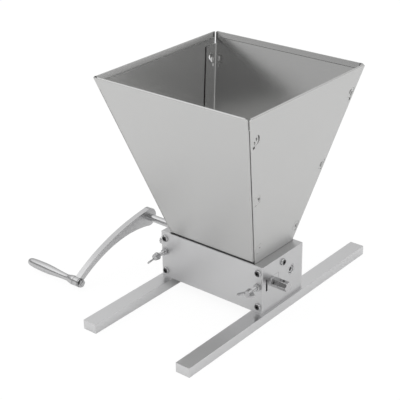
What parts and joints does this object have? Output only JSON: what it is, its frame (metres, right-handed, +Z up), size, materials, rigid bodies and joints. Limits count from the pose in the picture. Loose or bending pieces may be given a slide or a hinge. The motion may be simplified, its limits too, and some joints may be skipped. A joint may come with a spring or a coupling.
{
  "type": "malt mill",
  "caption": "Two roller malt mill with a square sheet steel hopper, a bowed hand crank, wing bolts for the roller gap and long foot bars.",
  "frame": {"origin": "on the table, under the middle of the whole mill", "axes": "+X along the rollers towards the hexagon drive stub, -Y towards the wing bolts, +Z up"},
  "size_m": [0.3651, 0.368, 0.2971],
  "materials": {
    "hopper_sheet": "fine satin",
    "box_plate": "satin",
    "cover_sheet": "satin",
    "foot_bar": "satin",
    "crank_metal": "smooth satin",
    "roller_steel": "knurled",
    "shaft_steel": "turned",
    "fastener_steel": "bright",
    "dark_screw": "blackened"
  },
  "bodies": {
    "mill_frame": {"left_end_plate": "box_plate", "right_end_plate": "box_plate", "front_cover": "cover_sheet", "rear_cover": "cover_sheet", "front_cover_screws": "fastener_steel", "rear_cover_screws": "fastener_steel", "left_foot_bar": "foot_bar", "right_foot_bar": "foot_bar", "foot_screws": "fastener_steel", "hopper_front_wall": "hopper_sheet", "hopper_rear_wall": "hopper_sheet", "hopper_left_wall": "hopper_sheet", "hopper_right_wall": "hopper_sheet", "hopper_screws": "fastener_steel", "hopper_nuts": "fastener_steel", "left_bush": "shaft_steel", "right_bush": "shaft_steel", "lock_nuts": "fastener_steel", "lock_washers": "fastener_steel"},
    "carriage": {"left_bearing_block": "box_plate", "right_bearing_block": "box_plate"},
    "front_roller_set": {"front_roller": "roller_steel", "front_shaft": "shaft_steel", "front_washers": "fastener_steel"},
    "crank": {"rear_roller": "roller_steel", "rear_shaft": "shaft_steel", "rear_washers": "fastener_steel", "crank_arm": "crank_metal", "hub_set_screw": "dark_screw"},
    "grip_set": {"grip": "crank_metal", "grip_stud": "fastener_steel", "grip_washer": "fastener_steel", "grip_nut": "fastener_steel"},
    "left_wing": {"left_wing_bolt": "fastener_steel"},
    "right_wing": {"right_wing_bolt": "fastener_steel"}
  },
  "joints": [
    {"name": "crank_turn", "type": "hinge", "parent": "mill_frame", "child": "crank", "pos_m": [0.06825, 0.0182, 0.0493], "axis": [1, 0, 0], "continuous": true},
    {"name": "grip_spin", "type": "hinge", "parent": "crank", "child": "grip_set", "pos_m": [-0.1388, -0.12022, 0.0096], "axis": [1, 0, 0], "continuous": true},
    {"name": "gap_slide", "type": "slide", "parent": "mill_frame", "child": "carriage", "axis": [0, -1, 0], "range_m": [-0.0002, 0.0016]},
    {"name": "front_roller_spin", "type": "hinge", "parent": "carriage", "child": "front_roller_set", "pos_m": [0.06825, -0.02, 0.0493], "axis": [1, 0, 0], "continuous": true},
    {"name": "left_wing_turn", "type": "hinge", "parent": "carriage", "child": "left_wing", "pos_m": [-0.0054, -0.05, 0.0493], "axis": [0, -1, 0], "range_deg": [-91, 721]},
    {"name": "right_wing_turn", "type": "hinge", "parent": "carriage", "child": "right_wing", "pos_m": [0.1419, -0.05, 0.0493], "axis": [0, -1, 0], "range_deg": [-91, 721]}
  ],
  "couplings": [
    {"joint": "left_wing_turn", "follows": "gap_slide", "rad_per_m": 7854},
    {"joint": "right_wing_turn", "follows": "gap_slide", "rad_per_m": 7854}
  ]
}
